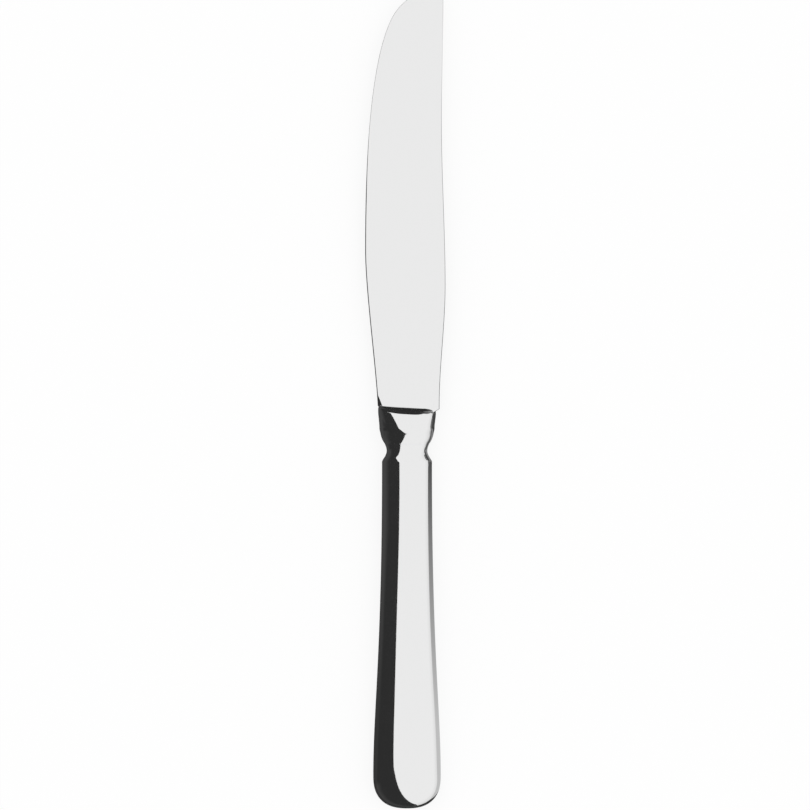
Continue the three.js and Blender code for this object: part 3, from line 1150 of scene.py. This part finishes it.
@dataclass
class Studio:
    """A pale floor under an even white sky, with dark cards that only the polish shows: painted reflections
    that lay dark and grey bands in the metal.
    """

    axis: Vector
    floor_size: float = 8.0
    floor_colour: tuple = (0.97, 0.97, 0.97, 1.0)
    backdrop_share: float = 0.85
    sky_low: float = 0.8
    sky_full_height: float = 0.5
    side_card_away: float = 1.0
    side_card_elevation: float = math.radians(72.5)
    side_card_slant: float = 0.4
    side_card_ends: tuple = (-9.0, 2.0)
    end_card_elevation: float = math.radians(42)
    end_card_wing: tuple = ((0.6, 0.55), (1.5, 1.1))
    mat_lift: float = 0.03 * MM
    mat_turn: float = 0.13
    spine_mat_lift: float = 0.05 * MM
    spine_mat_start: float = -0.1
    spine_mat_slope: float = 0.82
    rim_away: float = 0.3
    rim_half_length: float = 0.4
    rim_elevation: float = math.radians(8)

    # A shade is a place along an axis and how bright a card is there, where 1 is white. The shades set the
    # brightness of painted reflections: dark and grey lines in the metal, lighter or darker place by place.
    darkest_reflection: float = 0.03
    # Painted reflection: the side card is paler near the floor, which lays a lighter rim along the metal's
    # edge side, and the dip dims it again over part of its length.
    side_reflection_shades: tuple = ((0.0, 0.065), (0.6, 0.03))
    side_reflection_dip: tuple = ((-0.4, 0.0), (-0.3, -0.02), (-0.07, -0.02), (-0.05, 0.0))
    end_reflection_shades: tuple = ((0.3, 0.03), (1.5, 0.3))
    edge_reflection_shades: tuple = ((-0.095, 0.04), (-0.04, 0.065))
    # Painted reflection of the line down the spine side: pale at the butt, dark at the bolster with a
    # lighter stripe at the neck, paler along the blade, and dark past the tip.
    spine_reflection_shades: tuple = (
        *((-0.095, 0.62), (-0.0165, 0.08), (-0.015, 0.27), (-0.012, 0.27), (-0.0105, 0.065)),
        *((0.016, 0.065), (0.045, 0.34), (0.077, 0.34), (0.105, 0.9), (0.12, 0.9), (0.13, 0.03)),
    )

    def sheet(self, name: str, corners: list[tuple]) -> Object:
        """Makes a flat sheet of the studio.

        Args:
            name: the sheet's name.
            corners: the corners round it.

        Returns:
            The sheet.
        """
        mesh = bpy.data.meshes.new(name)
        mesh.from_pydata(corners, [], [range(len(corners))])
        sheet = linked(bpy.data.objects.new(name, mesh))
        return sheet

    def level(self, left: float, right: float, low: float, high: float, z: float) -> list[tuple]:
        """Lists the corners of a level rectangle."""
        return [(left, low, z), (right, low, z), (right, high, z), (left, high, z)]

    def floor(self) -> None:
        """Lays the floor, which keeps a light shadow of the knife."""
        half = self.floor_size / 2
        material = bpy.data.materials.new("pale_floor")
        wiring = emptied(material)
        path = wiring.add("ShaderNodeLightPath").outputs
        seen = wiring.number("MAXIMUM", path["Is Camera Ray"], path["Is Glossy Ray"])
        seen = wiring.number("MAXIMUM", seen, path["Is Transmission Ray"])
        paint = wiring.add("ShaderNodeBsdfDiffuse", {"Color": self.floor_colour}).outputs[0]
        white = wiring.add("ShaderNodeEmission", {"Color": WHITE, "Strength": 1.0}).outputs[0]
        share = wiring.number("MULTIPLY", seen, self.backdrop_share)
        both = wiring.add("ShaderNodeMixShader", {0: share, 1: paint, 2: white}).outputs[0]
        wiring.add("ShaderNodeOutputMaterial", {"Surface": both})
        dress(self.sheet("floor", self.level(-half, half, -half, half, 0)), material)

    def card(self, name: str, corners: list[tuple], ramps: dict[int, tuple]) -> None:
        """Sets up a dark card that shows only in polished metal: a painted reflection, glowing as bright as
        its shades.

        Args:
            name: the card's name.
            corners: the corners round it.
            ramps: the painted reflection's shades along each axis, by its number. What several axes give is
                added up.
        """
        card = self.sheet(name, corners)
        # Hidden from the camera, from diffuse light and from shadows: the card only paints its reflection
        # into the metal.
        for sight in ("camera", "diffuse", "transmission", "volume_scatter", "shadow"):
            setattr(card, f"visible_{sight}", False)
        material = bpy.data.materials.new(name)
        wiring = emptied(material)
        axes = wiring.add("ShaderNodeSeparateXYZ", {0: wiring.place()}).outputs
        painted_reflection_level: Plug = 0.0
        for axis, shades in ramps.items():
            painted_reflection_level = wiring.number("ADD", painted_reflection_level, shades[0][1])
            for (start, shade), (end, next_shade) in zip(shades, shades[1:]):
                change = wiring.spread(axes[axis], start, end, 0.0, next_shade - shade)
                painted_reflection_level = wiring.number("ADD", painted_reflection_level, change)
        painted_reflection_level = wiring.number("MAXIMUM", painted_reflection_level, self.darkest_reflection)
        # The card glows only to paint a dark or grey reflection; it lights nothing.
        light = wiring.add("ShaderNodeEmission", {"Color": WHITE, "Strength": painted_reflection_level}).outputs[0]
        wiring.add("ShaderNodeOutputMaterial", {"Surface": light})
        dress(card, material)

    def side_line(self) -> list[tuple]:
        """Finds the ends of the tall side card's foot, behind the butt and past the tip."""
        x = self.axis.x - self.side_card_away
        return [(x - self.side_card_slant * y, y) for y in self.side_card_ends]

    def tall_cards(self) -> None:
        """Hangs a card along the cutting edge's side, and one past the tip that steps down at its right:
        both are painted reflections, seen only in the metal.
        """
        rear, front = self.side_line()
        top = self.side_card_away * math.tan(self.side_card_elevation)
        corners = [(*rear, 0), (*front, 0), (*front, top), (*rear, top)]
        # Painted reflection of a tall dark card on the cutting edge's side.
        self.card("side_reflection_card", corners, {2: self.side_reflection_shades, 1: self.side_reflection_dip})
        left, y = front
        top = y * math.tan(self.end_card_elevation)
        inner, outer = self.end_card_wing
        outline = [(left, 0), (outer[0], 0), outer, inner, (inner[0], top), (left, top)]
        self.card("end_reflection_card", [(x, y, z) for x, z in outline], {0: self.end_reflection_shades})

    def mats(self) -> None:
        """Lays dark mats round the knife up to the tall cards, and a low rim along the spine's side:
        painted reflections of a dark floor and rim, seen only in the metal while the camera sees the pale
        floor.
        """
        (_, low), (left, high) = self.side_line()
        right, turn, x = self.end_card_wing[1][0], self.mat_turn, self.rim_away
        # The mats lie just over the floor and paint its reflection dark; the camera and the light still
        # meet the pale floor.
        self.card("edge_reflection_mat", self.level(left, x, low, turn, self.mat_lift), {1: self.edge_reflection_shades})
        self.card("tip_reflection_mat", self.level(left, right, turn, high, self.mat_lift), {0: self.end_reflection_shades})
        middle, start, z = self.axis.x, self.spine_mat_start, self.spine_mat_lift
        end = start - (x - middle) / self.spine_mat_slope
        corners = [(middle, start, z), (x, end, z), (x, turn, z), (middle, turn, z)]
        self.card("spine_reflection_mat", corners, {1: self.spine_reflection_shades})
        y, top = self.rim_half_length, x * math.tan(self.rim_elevation)
        corners = [(x, -y, 0), (x, y, 0), (x, y, top), (x, -y, top)]
        self.card("spine_reflection_rim", corners, {1: self.spine_reflection_shades})

    def sky(self) -> None:
        """Lights the scene with an even white sky that falls off a little towards the horizon."""
        world = bpy.data.worlds.new("sky")
        wiring = emptied(world)
        way = wiring.add("ShaderNodeTexCoord").outputs["Generated"]
        up = wiring.add("ShaderNodeSeparateXYZ", {0: way}).outputs[2]
        level = wiring.spread(up, 0.0, self.sky_full_height, self.sky_low, 1.0)
        seen = wiring.add("ShaderNodeLightPath").outputs["Is Camera Ray"]
        strength = wiring.number("MAXIMUM", level, seen)
        light = wiring.add("ShaderNodeBackground", {"Color": WHITE, "Strength": strength}).outputs[0]
        wiring.add("ShaderNodeOutputWorld", {"Surface": light})
        bpy.context.scene.world = world

    def build(self) -> None:
        """Sets up the studio."""
        self.floor()
        self.tall_cards()
        self.mats()
        self.sky()
        bpy.context.scene.view_settings.view_transform = "Standard"


@dataclass
class PhotoCamera:
    """A long lens straight above the knife, framed as the photograph is, with the tip cut off."""

    frame_width: float = 232.5 * MM
    right_of_axis: float = -0.57 * MM
    from_mouth: float = 11.45 * MM
    lens: float = 200.0
    sensor: float = 36.0

    def build(self, mouth: Vector) -> None:
        """Sets up the camera over the knife.

        Args:
            mouth: where the middle of the handle's mouth is.
        """
        data = bpy.data.cameras.new("photo_camera")
        data.lens = self.lens
        data.sensor_width = self.sensor
        camera = linked(bpy.data.objects.new("photo_camera", data))
        height = self.frame_width * self.lens / self.sensor
        camera.location = mouth + Vector((self.right_of_axis, self.from_mouth, height))
        bpy.context.scene.camera = camera


def handle_mouth(form: HandleForm) -> Vector:
    """Finds the middle of the handle's mouth, on the parting plane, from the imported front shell."""
    low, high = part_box("handle_front_shell")
    return Vector(((low.x + high.x) / 2, low.y + form.length, low.z - form.seam / 2))


def main() -> None:
    """Builds the knife, the studio and the camera."""
    logging.basicConfig(level=logging.INFO, format="%(name)s %(message)s")
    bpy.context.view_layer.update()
    form = HandleForm()
    mouth = handle_mouth(form)
    workshop = Workshop()
    PhotoCamera().build(mouth)
    Studio(mouth).build()
    pieces = [
        BladeForging("blade", Record.STEEL, form),
        HandleShell("handle_front_shell", Record.STEEL, form, side=Side.FRONT),
        HandleShell("handle_back_shell", Record.STEEL, form, side=Side.BACK),
        HandleSeam("handle_seam", Record.BRAZE, form),
        NeckSolder("neck_solder", Record.SOLDER, form),
    ]
    for piece in pieces:
        piece.place(workshop, mouth)
    dress(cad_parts["tang_cement"], workshop.finishes[Record.CEMENT])
    log.info("tang_cement: kept from the packed model")


if __name__ == "__main__":
    main()
